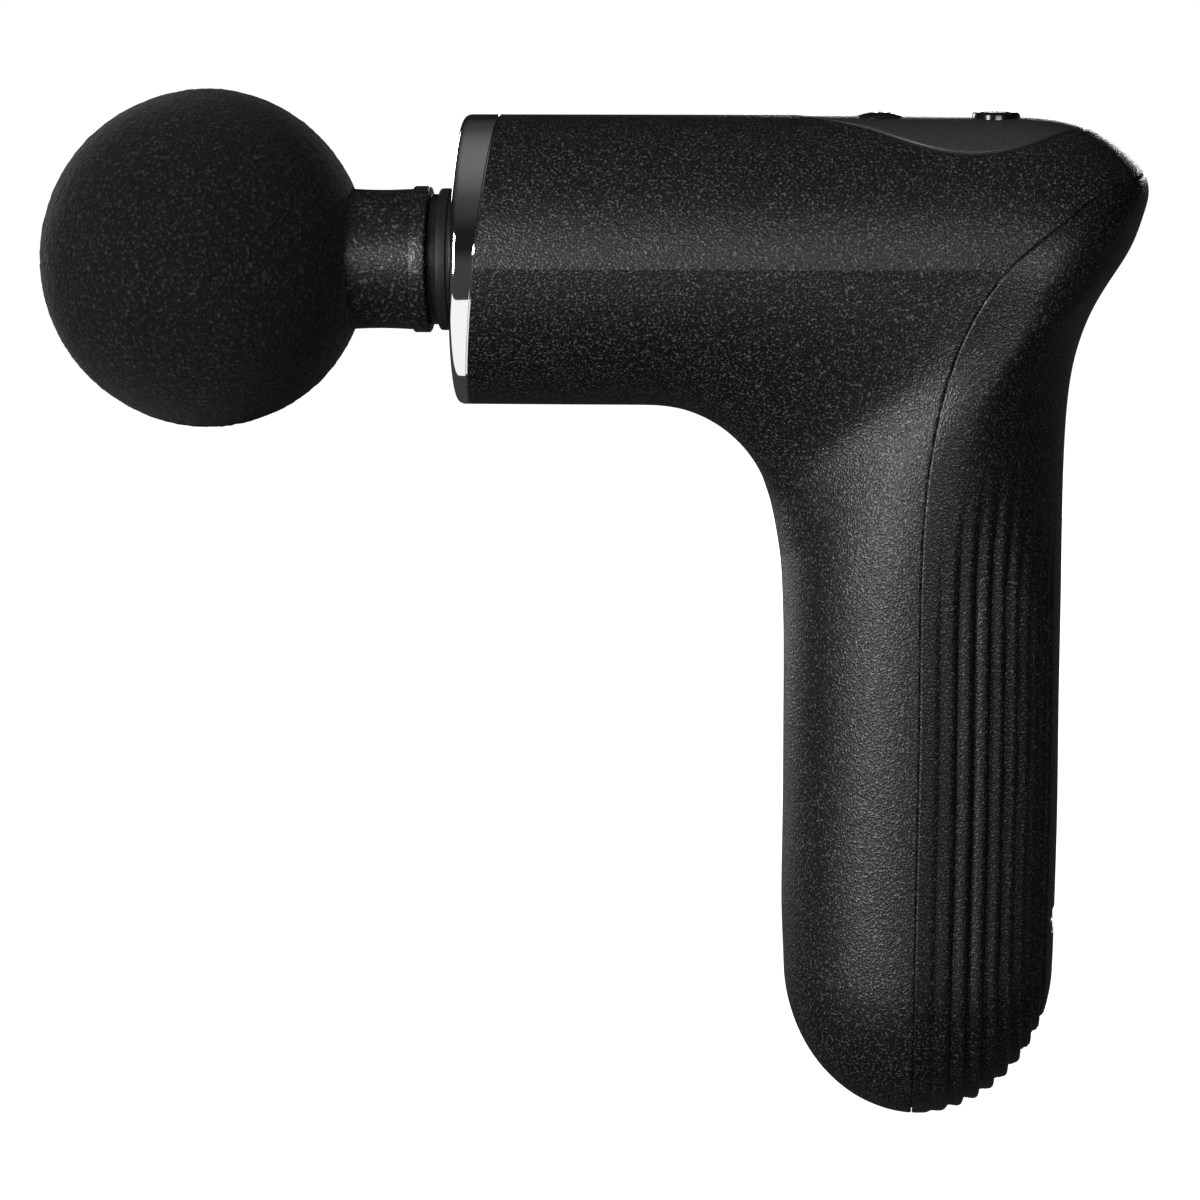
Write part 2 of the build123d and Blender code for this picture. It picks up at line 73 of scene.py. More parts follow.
# inner point (x, z), outer point (x, z), half width, place of the widest point
BEND_STATIONS = (
    ((34.0, -21.3), (40.5, 21.2), 21.2, 0.500),
    ((37.0, -21.8), (52.0, 21.2), 21.1, 0.506),
    ((41.0, -23.4), (66.0, 21.2), 20.9, 0.525),
    ((44.6, -26.0), (80.0, 21.1), 20.6, 0.552),
    ((47.0, -28.7), (90.0, 20.8), 20.3, 0.580),
    ((48.3, -30.8), (96.4, 19.0), 20.1, 0.620),
    ((49.0, -32.4), (101.0, 15.9), 19.9, 0.655),
    ((49.4, -33.6), (103.6, 13.3), 19.8, 0.675),
    ((49.8, -34.8), (104.56, 10.3), 19.7, 0.680),
    ((50.1, -36.0), (104.0, 7.4), 19.6, 0.675),
    ((50.5, -37.8), (102.3, 2.7), 19.5, 0.660),
    ((50.9, -40.0), (99.6, -1.8), 19.4, 0.640),
    ((51.4, -43.2), (96.6, -7.0), 19.3, 0.610),
    ((51.7, -47.0), (94.2, -14.0), 19.2, 0.580),
    ((51.9, -52.0), (93.1, -22.5), 19.2, 0.550),
    ((52.0, -59.0), (92.75, -34.0), 19.2, 0.530),
    ((52.0, -68.0), (92.7, -49.0), 19.2, 0.515),
    ((52.0, -78.0), (92.6, -65.0), 19.2, 0.505),
    ((51.9, -88.0), (92.6, -81.0), 19.2, 0.500),
    ((51.9, -96.5), (92.4, -94.0), 19.2, 0.500),
    ((52.2, DOME_Z), (92.2, DOME_Z), GRIP_W, 0.500),
)
# points (x, z) of the line between the two shells, from the beak down to the foot
PARTING_POINTS = (
    (112.0, 16.6), (104.0, 12.8), (97.6, 10.6), (92.3, 6.9), (85.2, 1.1), (79.0, -7.5),
    (75.0, -18.2), (72.9, -30.4), (72.1, -59.6), (71.8, -95.5), (71.4, -132.0),
)
SEAM_GAP = 0.12                    # open width between the two shells
SEAM_ROUND = 0.28                  # radius rolled over the edge of each shell
CREASE_HEIGHT = 0.44               # how far the side line stands out
CREASE_ABOVE = 5.0                 # how far it fades out above
CREASE_BELOW = 2.4                 # and below
CREASE_END = 86.0                  # where it ends, towards the beak
LIP_DEPTH = 0.75                   # how far the tongue behind the parting line lies below the surface
LIP_WALL = 0.9

# ---- nose ring ----
RING_SLOPE = 0.1038                # lean of the ring's rear face
RING_BACK = 8.0
RING_TILT = 0.022                  # lean of its front face
NOSE_GAP = 0.14                    # between the ring and the front shell

# ---- grip ribs on the rear shell ----
RIB_PITCH = 2.7
RIB_FIRST = 2.9
RIB_LAST = 25.5
RIB_DEPTH = 0.85
RIB_CREST = 0.6                    # place of the crest between two valleys
GRIP_REACH = 20.4                  # from the parting line back to the rearmost line of the grip

# ---- charging slot in the back of the grip ----
PORT_Z = -97.0
PORT_HALF_Y = 4.75
PORT_HALF_Z = 1.85
PORT_CORNER = 1.6

# ---- control panel ----
PANEL_POINTS = ((53.4, 0.0), (60.0, 5.0), (68.0, 9.9), (77.5, 12.8), (86.5, 11.0), (92.5, 5.8), (95.2, 0.0))
BUTTONS = (("front", 65.6), ("rear", 82.4))      # name and place along X
BUTTON_HOLE_R = 3.62


# ---------------------------------------------------------------- mesh helpers
def mesh_piece(name, points, faces, smooth=True):
    """A new object from points in millimetres and faces."""
    mesh = bpy.data.meshes.new(name)
    mesh.from_pydata([tuple(MM * c for c in p) for p in points], [], faces)
    mesh.validate()
    if smooth:
        mesh.polygons.foreach_set("use_smooth", [True] * len(mesh.polygons))
    piece = bpy.data.objects.new(name, mesh)
    bpy.context.scene.collection.objects.link(piece)
    return piece


def tidy(piece, merge=0.0):
    """Merge points that coincide and turn the faces outward."""
    bm = bmesh.new()
    bm.from_mesh(piece.data)
    if merge:
        bmesh.ops.remove_doubles(bm, verts=bm.verts, dist=merge * MM)
    loose = [v for v in bm.verts if not v.link_faces]
    bmesh.ops.delete(bm, geom=loose, context="VERTS")
    bmesh.ops.recalc_face_normals(bm, faces=bm.faces)
    bm.to_mesh(piece.data)
    bm.free()


def apply_modifiers(piece):
    """Bake the piece's modifiers into its mesh."""
    depsgraph = bpy.context.evaluated_depsgraph_get()
    mesh = bpy.data.meshes.new_from_object(piece.evaluated_get(depsgraph))
    piece.modifiers.clear()
    piece.data = mesh


def cut(piece, tool):
    """Take the tool's volume away from a piece and delete the tool."""
    boolean = piece.modifiers.new("cut", "BOOLEAN")
    boolean.operation = "DIFFERENCE"
    boolean.solver = "EXACT"
    boolean.object = tool
    apply_modifiers(piece)
    bpy.data.objects.remove(tool)


def sharp_edges(piece, degrees=35):
    """Smooth shading that breaks at edges sharper than the given angle."""
    piece.data.set_sharp_from_angle(angle=radians(degrees))


def rounded(profile, radii, steps=5):
    """Round the corners of an open (x, r) outline; each corner has its own radius."""
    out = [profile[0]]
    for before, here, after, radius in zip(profile, profile[1:], profile[2:], radii[1:]):
        if radius <= 0:
            out.append(here)
            continue
        b, h, a = (np.array(p, float) for p in (before, here, after))
        u, v = (b - h) / np.linalg.norm(b - h), (a - h) / np.linalg.norm(a - h)
        for i in range(steps + 1):
            t = i / steps
            start, end = h + u * radius, h + v * radius
            out.append(tuple((1 - t) ** 2 * start + 2 * t * (1 - t) * h + t * t * end))
    out.append(profile[-1])
    return out


def lathe(name, profile, around=160, shift=None):
    """A closed ring or plug turned about the X axis; shift moves each point along X."""
    points, faces = [], []
    count = len(profile)
    for k in range(around):
        a = 2 * pi * k / around
        for x, r in profile:
            y, z = r * sin(a), r * cos(a)
            points.append((x + (shift(x, z) if shift else 0.0), y, z))
    for k in range(around):
        for i in range(count):
            j = (i + 1) % count
            here, there = k * count, (k + 1) % around * count
            faces.append((here + i, here + j, there + j, there + i))
    piece = mesh_piece(name, points, faces)
    tidy(piece, merge=0.0005)
    return piece


# ---------------------------------------------------------------- casing surface
def spline(t, knots, values):
    """A smooth curve through the values at the knots (natural cubic), at every t."""
    n = len(knots)
    h = np.diff(knots)
    matrix = np.eye(n)
    right = np.zeros((n,) + values.shape[1:])
    for i in range(1, n - 1):
        matrix[i, i - 1:i + 2] = h[i - 1], 2 * (h[i - 1] + h[i]), h[i]
        right[i] = 6 * ((values[i + 1] - values[i]) / h[i] - (values[i] - values[i - 1]) / h[i - 1])
    second = np.linalg.solve(matrix, right)
    i = np.clip(np.searchsorted(knots, t, side="right") - 1, 0, n - 2)
    shape = (-1,) + (1,) * (values.ndim - 1)
    hi, a, b = h[i].reshape(shape), (knots[i + 1] - t).reshape(shape), (t - knots[i]).reshape(shape)
    cubic = (second[i] * a ** 3 + second[i + 1] * b ** 3) / (6 * hi)
    before = (values[i] / hi - second[i] * hi / 6) * a
    after = (values[i + 1] / hi - second[i + 1] * hi / 6) * b
    return cubic + before + after


def casing_rows():
    """Section rows along the casing: inner x z, outer x z, half width, widest share."""
    rows = [(x, -BARREL_R, x, BARREL_R, BARREL_R, 0.5) for x in (-10.0, 4.0, 14.0, 23.0, BARREL_END)]
    rows += [(*inner, *outer, width, widest) for inner, outer, width, widest in BEND_STATIONS]
    for angle in range(8, 88, 8):
        c, s = cos(radians(angle)), sin(radians(angle))
        z = DOME_Z - DOME_H * s
        rows.append((DOME_X - DOME_A * c, z, DOME_X + DOME_A * c, z, GRIP_W * c, 0.5))
    rows.append((DOME_X - 0.02, DOME_Z - DOME_H, DOME_X + 0.02, DOME_Z - DOME_H, 0.02, 0.5))
    return np.array(rows)


ROWS = casing_rows()
STEPS = np.hypot(*(np.diff((ROWS[:, :2] + 2 * ROWS[:, 2:4]) / 3, axis=0)).T) + 1.0
KNOTS = np.concatenate([[0.0], np.cumsum(STEPS)])
JOIN_KNOT = 0.4 * KNOTS[10] + 0.6 * KNOTS[11]    # closed sections up to here, level rows after it


def section_point(rows, u):
    """Points on the +Y half of sections; u is 0 at the inner point, 1 at the side, 2 at the outer point."""
    inner, outer, width, widest = rows[..., 0:2], rows[..., 2:4], rows[..., 4], rows[..., 5]
    length = np.hypot(outer[..., 0] - inner[..., 0], outer[..., 1] - inner[..., 1])
    low = length * widest
    first = u <= 1
    t = np.where(first, u, u - 1)
    b0, b1, b2, b3 = (1 - t) ** 3, 3 * t * (1 - t) ** 2, 3 * t * t * (1 - t), t ** 3
    s_low = b2 * low * (1 - ROUNDNESS) + b3 * low
    y_low = b1 * ROUNDNESS * width + (b2 + b3) * width
    s_high = b0 * low + b1 * (low + ROUNDNESS * (length - low)) + (b2 + b3) * length
    y_high = (b0 + b1) * width + b2 * ROUNDNESS * width
    share = np.where(first, s_low, s_high) / np.maximum(length, 1e-9)
    x = inner[..., 0] + (outer[..., 0] - inner[..., 0]) * share
    z = inner[..., 1] + (outer[..., 1] - inner[..., 1]) * share
    return np.stack([x, np.where(first, y_low, y_high), z], axis=-1)


def half_width_at(x, z):
    """Half width of the casing where a line along Y passes through (x, z), below the joining section."""
    low, high = np.full(x.shape, JOIN_KNOT - 3.0), np.full(x.shape, KNOTS[-1])
    for _ in range(36):
        middle = (low + high) / 2
        row = spline(middle.ravel(), KNOTS, ROWS).reshape(x.shape + (6,))
        run, rise = row[..., 2] - row[..., 0], row[..., 3] - row[..., 1]
        ahead = run * (z - row[..., 1]) - rise * (x - row[..., 0])
        low, high = np.where(ahead < 0, middle, low), np.where(ahead < 0, high, middle)
    row = spline(((low + high) / 2).ravel(), KNOTS, ROWS).reshape(x.shape + (6,))
    run, rise = row[..., 2] - row[..., 0], row[..., 3] - row[..., 1]
    length = np.hypot(run, rise)
    along = (x - row[..., 0]) * run + (z - row[..., 1]) * rise
    share = np.clip(along / np.maximum(length, 1e-9) ** 2, 0, 1)
    low, high = np.zeros(x.shape), np.full(x.shape, 2.0)
    for _ in range(30):
        middle = (low + high) / 2
        point = section_point(row, middle)
        reach = np.hypot(point[..., 0] - row[..., 0], point[..., 2] - row[..., 1]) / np.maximum(length, 1e-9)
        low, high = np.where(reach < share, middle, low), np.where(reach < share, high, middle)
    return section_point(row, (low + high) / 2)[..., 1]


def smooth_line(points):
    """A finely divided smooth curve through (x, z) points."""
    line = np.array(points)
    steps = np.concatenate([[0.0], np.cumsum(np.hypot(*np.diff(line, axis=0).T))])
    return spline(np.linspace(0, steps[-1], 1600), steps, line)


SEAM_LINE = smooth_line(PARTING_POINTS)[::-1]
EDGE_ROWS = spline(np.linspace(JOIN_KNOT, KNOTS[-1], 2400), KNOTS, ROWS)[::-1]


def seam_x(z):
    """Where the parting line lies at a height."""
    return np.interp(z, SEAM_LINE[:, 1], SEAM_LINE[:, 0])


def front_x(z):
    """The front outline of the handle at a height."""
    return np.interp(z, EDGE_ROWS[:, 1], EDGE_ROWS[:, 0])


def back_x(z):
    """The back outline of the handle and beak at a height."""
    return np.interp(z, EDGE_ROWS[:, 3], EDGE_ROWS[:, 2])


def crossing(first, second, low, high):
    """The height between low and high at which two outlines meet."""
    heights = np.linspace(low, high, 4000)
    gap = first(heights) - second(heights)
    return heights[np.nonzero(gap[:-1] * gap[1:] <= 0)[0][0]]


TIP_Z = crossing(seam_x, back_x, 9.0, 16.0)          # the parting line leaves the casing at the beak
FOOT_Z = crossing(seam_x, front_x, DOME_Z - DOME_H + 0.0005, -120.0)


def dome_heights(shares, low):
    """Heights down the rounded foot to a lowest one, closer together as the foot turns under."""
    return DOME_Z - DOME_H * np.sin(shares * np.arcsin((DOME_Z - low) / DOME_H))


def seam_slope(z):
    """Sine of the angle between the parting line and the level, at a height."""
    step = 0.3
    run = seam_x(z + step) - seam_x(z - step)
    return 2 * step / np.hypot(run, 2 * step)


def seam_distance(x, z):
    """Distance from points to the parting line in the upright plane, behind it positive."""
    flat = np.stack([x.ravel(), z.ravel()], axis=1)
    out = np.empty(len(flat))
    line = SEAM_LINE[::2]
    for start in range(0, len(flat), 4000):
        part = flat[start:start + 4000]
        out[start:start + 4000] = np.sqrt(((part[:, None] - line[None]) ** 2).sum(axis=2).min(axis=1))
    return (out * np.sign(flat[:, 0] - seam_x(flat[:, 1]))).reshape(x.shape)


def grid_faces(rows, columns, base=0, flip=False):
    """Quads of a grid whose points start at a base index."""
    faces = []
    for i in range(rows - 1):
        for j in range(columns - 1):
            a, b = base + i * columns + j, base + (i + 1) * columns + j
            faces.append((a, b, b + 1, a + 1) if flip else (a, a + 1, b + 1, b))
    return faces


def mirrored(name, grids):
    """One skin from the +Y half grids and their mirror images."""
    points, faces = [], []
    for grid in grids:
        for side in (1, -1):
            base = len(points)
            points += list((grid * (1, side, 1)).reshape(-1, 3))
            faces += grid_faces(grid.shape[0], grid.shape[1], base, flip=side < 0)
    skin = mesh_piece(name, points, faces)
    tidy(skin, merge=0.004)
    return skin


def reshape(piece, change):
    """Move each point of a skin along its normal by a worked-out amount, or to a new place."""
    mesh = piece.data
    count = len(mesh.vertices)
    place, normal = np.empty(count * 3), np.empty(count * 3)
    mesh.vertices.foreach_get("co", place)
    mesh.vertices.foreach_get("normal", normal)
    place = place.reshape(-1, 3) / MM
    moved = change(place, normal.reshape(-1, 3))
    mesh.vertices.foreach_set("co", (moved * MM).ravel())
    mesh.update()


def edge_roll(distance):
    """How far a surface rolls inward at a distance from its edge."""
    d = np.clip(np.abs(distance), 0, SEAM_ROUND)
    return SEAM_ROUND - np.sqrt(SEAM_ROUND ** 2 - (SEAM_ROUND - d) ** 2)


def blend_in(s):
    """A smooth step from 0 to 1."""
    s = np.clip(s, 0, 1)
    return s * s * (3 - 2 * s)


EDGE_STEPS = np.array([0.0, 0.03, 0.09, 0.17, 0.27, 0.42, 0.7])


def almond(grow=0.0, steps=24):
    """The control panel's outline from above, as points all the way round."""
    line = np.array(PANEL_POINTS)
    full = np.concatenate([line, (line * (1, -1))[-2:0:-1], line[:1]])
    knots = np.concatenate([[0.0], np.cumsum(np.hypot(*np.diff(full, axis=0).T))])
    padded = np.concatenate([full[-4:-1], full, full[1:4]])
    span = knots[-1]
    wide = np.concatenate([knots[-4:-1] - span, knots, knots[1:4] + span])
    fine = np.linspace(0, span, steps * 12, endpoint=False)
    outline = spline(fine, wide, padded)
    tangent = np.roll(outline, -1, axis=0) - np.roll(outline, 1, axis=0)
    tangent /= np.linalg.norm(tangent, axis=1, keepdims=True)
    outward = np.stack([tangent[:, 1], -tangent[:, 0]], axis=1)
    outward *= np.sign(((outline - outline.mean(axis=0)) * outward).sum())
    return outline + outward * grow


def surface_bvh(piece):
    """A search tree over a piece, in metres."""
    bm = bmesh.new()
    bm.from_mesh(piece.data)
    tree = BVHTree.FromBMesh(bm)
    bm.free()
    return tree


def top_height(tree, x, y):
    """Height of the casing's top over a point, in millimetres, and its normal."""
    hit, normal, _, _ = tree.ray_cast(Vector((x * MM, y * MM, 0.05)), Vector((0, 0, -1)))
    return hit.z / MM, normal


# ---------------------------------------------------------------- shells
def side_spread():
    """Places round a section for the front shell, close together at the side line and at the beak's edge."""
    near = np.array([0.0, 0.004, 0.010, 0.022, 0.042, 0.07, 0.105])
    plain = np.linspace(0.145, 1.0, 40)
    lower = 1 - np.concatenate([near, plain])[::-1]
    upper = 1 + np.concatenate([near, plain])
    join = spline(np.array([JOIN_KNOT]), KNOTS, ROWS)
    fine = np.linspace(0, 2, 4001)
    heights = section_point(np.repeat(join, len(fine), axis=0), fine)[:, 2]
    tip = np.interp(TIP_Z, heights, fine)
    spread = np.unique(np.concatenate([lower, upper]))
    spread[np.argmin(np.abs(spread - tip))] = tip
    return spread


def barrel_grid(spread, opening=None):
    """Closed sections from the nose to the joining section; an opening ends them at the panel's outline."""
    start = KNOTS[1] + (RING_BACK - 4.0) / 10.0 * (KNOTS[2] - KNOTS[1])
    t_values = np.concatenate([np.linspace(start, KNOTS[4], 34, endpoint=False),
                               np.linspace(KNOTS[4], JOIN_KNOT, 84)])
    if opening is not None:
        tops = spline(t_values, KNOTS, ROWS)[:, 2]
        near = np.array([-0.6, -0.2, 0.02, 0.08, 0.2, 0.4, 0.7, 1.1, 1.6])
        ends = np.concatenate([opening[:, 0].min() + near, opening[:, 0].max() - near])
        t_values = np.sort(np.concatenate([t_values, np.interp(ends, tops, t_values)]))
    rows = spline(t_values, KNOTS, ROWS)[:, None, :]
    cap = np.full(len(t_values), 2.0)
    if opening is not None:
        upper = opening[opening[:, 1] >= 0]
        upper = upper[np.argsort(upper[:, 0])]
        low, high = np.ones(len(cap)), np.full(len(cap), 2.0)
        inside = (rows[:, 0, 2] > upper[0, 0]) & (rows[:, 0, 2] < upper[-1, 0])
        for _ in range(30):
            middle = (low + high) / 2
            point = section_point(rows[:, 0], middle)
            outside = point[:, 1] > np.interp(point[:, 0], upper[:, 0], upper[:, 1], left=-1, right=-1)
            low, high = np.where(outside, middle, low), np.where(outside, high, middle)
        cap = np.where(inside, low, cap)
    places = np.where(spread > 1, 1 + (spread - 1) * (cap[:, None] - 1), spread)
    return nose_end(section_point(rows, places))


def front_shell():
    """The barrel and the front of the handle, open at the nose, the panel and the parting line."""
    spread = side_spread()
    barrel = barrel_grid(spread, almond(0.95))
    edge = barrel[-1]
    below = np.linspace(edge[0, 2], DOME_Z, 84)[1:]
    below = np.concatenate([below, dome_heights(np.linspace(0, 1, 40)[1:], FOOT_Z)])
    heights = np.concatenate([edge[::-1, 2], below])
    left = np.concatenate([edge[::-1, 0], front_x(below)])
    right = np.where(heights > TIP_Z, back_x(heights), seam_x(heights))
    right[0] = left[0]
    right = np.maximum(right, left)
    steps = EDGE_STEPS / np.maximum(seam_slope(heights), 0.35)[:, None]
    steps = np.minimum(steps, (right - left)[:, None] * EDGE_STEPS / 1.4)
    crowd = 1 - np.cos(np.linspace(0, 1, 44) * pi / 2)
    last = right - steps[:, -1]
    x = left[:, None] + (last - left)[:, None] * crowd[None, :]
    x = np.concatenate([x, right[:, None] - steps[:, -2::-1]], axis=1)
    z = np.repeat(heights[:, None], x.shape[1], axis=1)
    y = half_width_at(x, z)
    y[:len(spread), 0] = edge[::-1, 1]
    y[len(spread):, 0] = 0.0
    y[heights > TIP_Z + 1e-6, -1] = 0.0
    y[0], y[-1] = 0.0, 0.0
    handle = np.stack([x, y, z], axis=-1)
    skin = mirrored("front_shell_skin", [barrel, handle])

    def relief(place, normal):
        x, z = place[:, 0], place[:, 2]
        ridge = np.where(z > 0, np.exp(-np.abs(z) / CREASE_ABOVE), np.exp(-np.abs(z) / CREASE_BELOW))
        ridge = CREASE_HEIGHT * ridge * blend_in((CREASE_END - x) / 9.0) * (np.abs(normal[:, 1]) > 0.5)
        distance = seam_distance(x, z)
        on_seam = (z < TIP_Z + 0.3) & (x > 60) & (distance > -4)
        roll = np.where(on_seam, edge_roll(distance), 0.0)
        moved = place + normal * (ridge - roll)[:, None]
        moved[:, 0] -= np.where(on_seam, SEAM_GAP / 2 * np.clip(1 + distance / 3, 0, 1), 0.0)
        return moved

    reshape(skin, relief)
    return skin


def nose_end(grid):
    """Move the start of the barrel onto the leaning plane behind the nose ring."""
    x, z = grid[..., 0], grid[..., 2]
    start = RING_BACK + NOSE_GAP + RING_SLOPE * z
    share = np.clip((BARREL_END - x) / (BARREL_END - RING_BACK), 0, 1)
    moved = grid.copy()
    moved[..., 0] = np.where(x < BARREL_END, BARREL_END + (start - BARREL_END) * share, x)
    return moved


def rib_depth(x, z):
    """Depth of the grip ribs below the plain surface: low rounded waves with narrow valleys."""
    arc = GRIP_REACH * np.arcsin(np.clip((x - seam_x(z)) / GRIP_REACH, 0, 0.9999))
    wave = (arc - RIB_FIRST) / RIB_PITCH
    wave = wave - np.floor(wave)
    lobe = np.sin(pi * wave ** (np.log(0.5) / np.log(RIB_CREST)))
    fade = blend_in((-24.0 - 0.8 * np.abs(arc - 12) - z) / 24.0)
    fade = fade * blend_in((arc - 0.9) / 1.8) * blend_in((RIB_LAST - arc) / 1.4)
    grow = 0.3 + 0.7 * blend_in((arc - 2.5) / 6.0)
    return RIB_DEPTH * grow * (1 - lobe) * fade


def inner_lip():
    """A thin tongue behind the parting line, which closes the gap between the shells."""
    heights = np.concatenate([np.linspace(TIP_Z - 2.0, DOME_Z, 120),
                              dome_heights(np.linspace(0.02, 1, 40), FOOT_Z + 0.02)])
    offsets = np.array([-1.2, -0.4, 0.4, 1.2])
    x = seam_x(heights)[:, None] + offsets[None, :] / np.maximum(seam_slope(heights), 0.35)[:, None]
    x = np.clip(x, front_x(heights)[:, None], back_x(heights)[:, None])
    z = np.repeat(heights[:, None], len(offsets), axis=1)
    lip = mirrored("inner_lip", [np.stack([x, half_width_at(x, z), z], axis=-1)])

    def sink(place, normal):
        return place - normal * LIP_DEPTH

    reshape(lip, sink)
    solid = lip.modifiers.new("wall", "SOLIDIFY")
    solid.thickness = LIP_WALL * MM
    solid.offset = -1
    apply_modifiers(lip)
    return lip


def port_opening():
    """The slot in the back of the grip for the charging plug, as a cutting tool."""
    reach_y, reach_z = PORT_HALF_Y - PORT_CORNER, PORT_HALF_Z - PORT_CORNER
    outline = []
    corners = ((1, 1, 0), (-1, 1, 90), (-1, -1, 180), (1, -1, 270))
    for side_y, side_z, start in corners:
        cy, cz = side_y * reach_y, side_z * reach_z
        for k in range(9):
            a = radians(start + 90 * k / 8)
            outline.append((cy + PORT_CORNER * cos(a), PORT_Z + cz + PORT_CORNER * sin(a)))
    n = len(outline)
    points = [(x, y, z) for x in (84.0, 98.0) for y, z in outline]
    faces = [tuple(range(n)), tuple(range(n, 2 * n))[::-1]]
    faces += [(i, n + i, n + (i + 1) % n, (i + 1) % n) for i in range(n)]
    tool = mesh_piece("port_tool", points, faces, smooth=False)
    tidy(tool)
    return tool


def absorb(piece, extra):
    """Join another mesh into a piece as part of it."""
    joined = bmesh.new()
    joined.from_mesh(piece.data)
    joined.from_mesh(extra.data)
    joined.to_mesh(piece.data)
    joined.free()
    bpy.data.objects.remove(extra)


def rear_shell():
    """The ribbed back of the handle, up to the beak, in level rows."""
    upper = TIP_Z - (TIP_Z + 8.0) * np.linspace(0, 1, 46) ** 1.25
    heights = np.concatenate([upper, np.linspace(-8.0, DOME_Z, 84)[1:],
                              DOME_Z - DOME_H * np.sin(np.linspace(0, pi / 2, 52)[1:])])
    heights[-1] = DOME_Z - DOME_H + 0.0005
    left = np.where(heights < FOOT_Z, front_x(heights), seam_x(heights))
    right = back_x(heights)
    left[0] = right[0]
    reach = np.where(heights < DOME_Z, GRIP_REACH, right - left)
    arcs = np.concatenate([EDGE_STEPS, np.arange(0.9, RIB_FIRST, 0.27)])
    rib_steps = np.array([0.0, 0.11, 0.23, 0.35, 0.47, 0.6, 0.72, 0.83, 0.93])
    ribs = RIB_FIRST + RIB_PITCH * (np.arange(9)[:, None] + rib_steps[None, :]).ravel()
    tail = np.linspace(ribs[-1], GRIP_REACH * pi / 2, 14)[1:]
    share = np.sin(np.clip(np.concatenate([arcs, ribs, tail]) / GRIP_REACH, 0, pi / 2))
    x = left[:, None] + np.minimum(share[None, :] * reach[:, None], (right - left)[:, None])
    x[:, -1] = right
    z = np.repeat(heights[:, None], x.shape[1], axis=1)
    y = half_width_at(x, z)
    y[x >= right[:, None] - 1e-7] = 0.0
    y[heights < FOOT_Z, 0] = 0.0
    y[0], y[-1] = 0.0, 0.0
    skin = mirrored("rear_shell_skin", [np.stack([x, y, z], axis=-1)])

    def relief(place, normal):
        x, z = place[:, 0], place[:, 2]
        distance = seam_distance(x, z)
        on_seam = z > FOOT_Z - 0.5
        moved = place - normal * (rib_depth(x, z) + np.where(on_seam, edge_roll(distance), 0.0))[:, None]
        moved[:, 0] += np.where(on_seam, SEAM_GAP / 2 * np.clip(1 - distance / 3, 0, 1), 0.0)
        return moved

    reshape(skin, relief)
    return skin


def thicken(piece):
    """Give an open skin its wall, inward, thinner where the two sides meet at the beak."""
    share = piece.vertex_groups.new(name="wall")
    tip = Vector((back_x(TIP_Z) * MM, 0.0, TIP_Z * MM))
    for vertex in piece.data.vertices:
        away = (Vector((vertex.co.x, 0.0, vertex.co.z)) - tip).length / (14.0 * MM)
        share.add([vertex.index], min(max(away, 0.06), 1.0), "REPLACE")
    solid = piece.modifiers.new("wall", "SOLIDIFY")
    solid.thickness = WALL * MM
    solid.offset = -1
    solid.use_rim = True
    solid.vertex_group = share.name
    apply_modifiers(piece)


# ---------------------------------------------------------------- controls
def prism(name, outline, low, high):
    """A tall prism on an outline, used as a cutting tool."""
    n = len(outline)
    points = [(x, y, low) for x, y in outline] + [(x, y, high) for x, y in outline]
    faces = [tuple(range(n))[::-1], tuple(range(n, 2 * n))]
    faces += [(i, (i + 1) % n, n + (i + 1) % n, n + i) for i in range(n)]
    tool = mesh_piece(name, points, faces, smooth=False)
    tidy(tool)
    return tool


def ring_strip(tree, outlines_and_drops):
    """Rings of points that follow the casing's top, each at its own outline and depth below it."""
    rings = []
    for outline, drop in outlines_and_drops:
        ring = []
        for x, y in outline:
            z, normal = top_height(tree, x, y)
            ring.append((x - normal.x * drop, y - normal.y * drop, z - normal.z * drop))
        rings.append(ring)
    return rings


def strip_mesh(name, rings, cap=False):
    """Join rings of points into a band; the last ring may be closed by a fan of rings."""
    n = len(rings[0])
    points = [p for ring in rings for p in ring]
    faces = []
    for r in range(len(rings) - 1):
        for i in range(n):
            j = (i + 1) % n
            faces.append((r * n + i, r * n + j, (r + 1) * n + j, (r + 1) * n + i))
    if cap:
        faces.append(tuple((len(rings) - 1) * n + i for i in range(n)))
    return mesh_piece(name, points, faces)


def panel_and_rim(tree):
    """The control panel insert and the bevelled rim of its opening."""
    rim = strip_mesh("rim", ring_strip(tree, [
        (almond(1.02), 0.30), (almond(0.98), 0.05), (almond(0.90), 0.03), (almond(0.80), 0.08),
        (almond(0.30), 0.42), (almond(0.18), 0.50), (almond(0.12), 0.64), (almond(0.10), 1.8),
    ]))
    centre = np.array([77.0, 0.0])
    edge = almond(-0.02)
    inner = [(centre + (edge - centre) * s, 0.16) for s in
             (0.97, 0.92, 0.85, 0.77, 0.68, 0.58, 0.48, 0.38, 0.28, 0.19, 0.11, 0.04, 0.012)]
    rings = [(edge, 1.8), (edge, 0.55), (almond(-0.04), 0.36), (almond(-0.12), 0.23), (almond(-0.26), 0.17)]
    panel = strip_mesh("control_panel_insert", ring_strip(tree, rings + inner), cap=True)
    return panel, rim


def dome_top(r):
    """Height of the front button's domed top at a distance from its middle."""
    return 21.16 + 0.54 * (1 - (r / 3.15) ** 2)


def dish_top(r):
    """Height of the rear button's slightly hollow top at a distance from its middle."""
    return 21.64 - 0.10 * (1 - (r / 2.6) ** 2)


